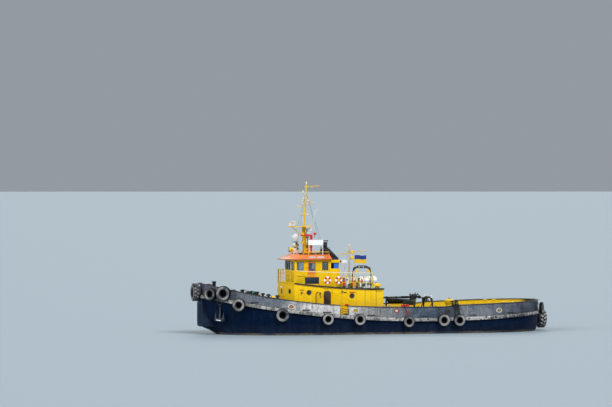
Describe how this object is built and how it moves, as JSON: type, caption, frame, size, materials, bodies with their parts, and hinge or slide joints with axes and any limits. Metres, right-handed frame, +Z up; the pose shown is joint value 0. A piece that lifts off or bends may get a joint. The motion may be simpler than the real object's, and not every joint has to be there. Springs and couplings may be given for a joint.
{
  "type": "harbour tugboat",
  "caption": "Twin-screw harbour tug with rounded hull, bulwarks hung with tyre fenders, deckhouse, wheelhouse, mast, fire monitor and a swinging towing hook.",
  "frame": {"origin": "at the waterline on the centreline, amidships", "axes": "+X to the bow, +Y to port, +Z up"},
  "size_m": [30.1058, 9.2206, 15.4125],
  "materials": {
    "hull_paint": "worn satin",
    "bulwark_paint": "weathered, rust stained",
    "black_paint": "worn satin",
    "rubber_fender": "scuffed matte",
    "rusty_iron": "rusty",
    "yellow_paint": "weathered gloss",
    "orange_paint": "weathered satin",
    "white_paint": "satin",
    "white_plastic": "moulded gel coat",
    "red_paint": "satin",
    "green_paint": "worn satin",
    "bronze": "cast bronze, dull",
    "flag_cloth": "woven polyester"
  },
  "bodies": {
    "ship": {"hull": "hull_paint", "rubbing_strake": "bulwark_paint", "bow_fender_pad": "rubber_fender", "bulwark_fore": "bulwark_paint", "bulwark_aft": "bulwark_paint", "bulwark_cap_fore": "black_paint", "bulwark_cap_aft": "black_paint", "tyre_fenders_port": "rubber_fender", "tyre_fenders_starboard": "rubber_fender", "tyre_fenders_bow": "rubber_fender", "tyre_fenders_stern": "rubber_fender", "anchor_port": "rusty_iron", "anchor_starboard": "rusty_iron", "boat_deck": "yellow_paint", "deckhouse": "yellow_paint", "wheelhouse": "yellow_paint", "aft_shelter": "yellow_paint", "funnel": "black_paint", "exhaust_pipes": "black_paint", "mast": "yellow_paint", "monitor_riser": "red_paint", "binnacle": "white_paint", "wheelhouse_roof": "orange_paint", "blank_board": "black_paint", "wind_screen": "white_paint", "whip_antenna": "white_paint", "boat_deck_railing_port": "yellow_paint", "boat_deck_railing_starboard": "yellow_paint", "boat_deck_railing_front": "yellow_paint", "signal_mast": "yellow_paint", "ensign": "flag_cloth", "liferaft": "white_plastic", "raft_cradle": "yellow_paint", "rope_rack": "black_paint", "windlass_frame": "green_paint", "bollards_fore_port": "black_paint", "bollards_fore_starboard": "black_paint", "bollards_aft_port": "black_paint", "bollards_aft_starboard": "black_paint", "bow_post": "black_paint", "tow_pivot_post": "black_paint", "towing_arc": "green_paint", "towing_arch": "black_paint", "capstan_base": "black_paint"},
    "propeller_port": {"propeller_port": "bronze"},
    "propeller_starboard": {"propeller_starboard": "bronze"},
    "nozzle_port": {"steering_nozzle_port": "hull_paint"},
    "nozzle_starboard": {"steering_nozzle_starboard": "hull_paint"},
    "radar_scanner": {"radar_scanner": "white_paint"},
    "deckhouse_door_port": {"deckhouse_door_port": "yellow_paint"},
    "deckhouse_door_starboard": {"deckhouse_door_starboard": "yellow_paint"},
    "wheelhouse_door_port": {"wheelhouse_door_port": "orange_paint"},
    "wheelhouse_door_starboard": {"wheelhouse_door_starboard": "orange_paint"},
    "monitor_head": {"monitor_head": "red_paint"},
    "monitor_barrel": {"monitor_barrel": "red_paint"},
    "searchlight": {"searchlight": "yellow_paint"},
    "windlass_drum": {"windlass_drum": "black_paint"},
    "capstan_drum": {"capstan_drum": "yellow_paint"},
    "tow_hook": {"tow_hook": "black_paint"}
  },
  "joints": [
    {"name": "propeller_port_spin", "type": "hinge", "parent": "ship", "child": "propeller_port", "pos_m": [-10.6, 1.9, -1.95], "axis": [1, 0, 0], "continuous": true},
    {"name": "propeller_starboard_spin", "type": "hinge", "parent": "ship", "child": "propeller_starboard", "pos_m": [-10.6, -1.9, -1.95], "axis": [1, 0, 0], "continuous": true},
    {"name": "nozzle_port_steer", "type": "hinge", "parent": "ship", "child": "nozzle_port", "pos_m": [-10.6, 1.9, -1.95], "axis": [0, 0, 1], "range_deg": [-35, 35]},
    {"name": "nozzle_starboard_steer", "type": "hinge", "parent": "ship", "child": "nozzle_starboard", "pos_m": [-10.6, -1.9, -1.95], "axis": [0, 0, 1], "range_deg": [-35, 35]},
    {"name": "radar_turn", "type": "hinge", "parent": "ship", "child": "radar_scanner", "pos_m": [6.44, 0, 9], "axis": [0, 0, 1], "continuous": true},
    {"name": "deckhouse_door_port_swing", "type": "hinge", "parent": "ship", "child": "deckhouse_door_port", "pos_m": [4.52, 2.83, 2.9], "axis": [0, 0, -1], "range_deg": [0, 110]},
    {"name": "deckhouse_door_starboard_swing", "type": "hinge", "parent": "ship", "child": "deckhouse_door_starboard", "pos_m": [4.52, -2.83, 2.9], "axis": [0, 0, 1], "range_deg": [0, 110]},
    {"name": "wheelhouse_door_port_swing", "type": "hinge", "parent": "ship", "child": "wheelhouse_door_port", "pos_m": [5.54, 1.63, 5], "axis": [0, 0, -1], "range_deg": [0, 100]},
    {"name": "wheelhouse_door_starboard_swing", "type": "hinge", "parent": "ship", "child": "wheelhouse_door_starboard", "pos_m": [5.54, -1.63, 5], "axis": [0, 0, 1], "range_deg": [0, 100]},
    {"name": "monitor_turn", "type": "hinge", "parent": "ship", "child": "monitor_head", "pos_m": [5.12, 1.15, 7.82], "axis": [0, 0, 1], "range_deg": [-170, 170]},
    {"name": "monitor_tilt", "type": "hinge", "parent": "monitor_head", "child": "monitor_barrel", "pos_m": [5.12, 1.15, 7.95], "axis": [0, -1, 0], "range_deg": [-15, 70]},
    {"name": "searchlight_turn", "type": "hinge", "parent": "ship", "child": "searchlight", "pos_m": [6.65, 0.6, 6.6], "axis": [0, 0, 1], "range_deg": [-170, 170]},
    {"name": "windlass_turn", "type": "hinge", "parent": "ship", "child": "windlass_drum", "pos_m": [9.7, 0, 3.11], "axis": [0, 1, 0], "continuous": true},
    {"name": "capstan_turn", "type": "hinge", "parent": "ship", "child": "capstan_drum", "pos_m": [-7, 0, 1.8], "axis": [0, 0, 1], "continuous": true},
    {"name": "tow_hook_swing", "type": "hinge", "parent": "ship", "child": "tow_hook", "pos_m": [-0.95, 0, 2.78], "axis": [0, 0, 1], "range_deg": [-50, 50]}
  ]
}
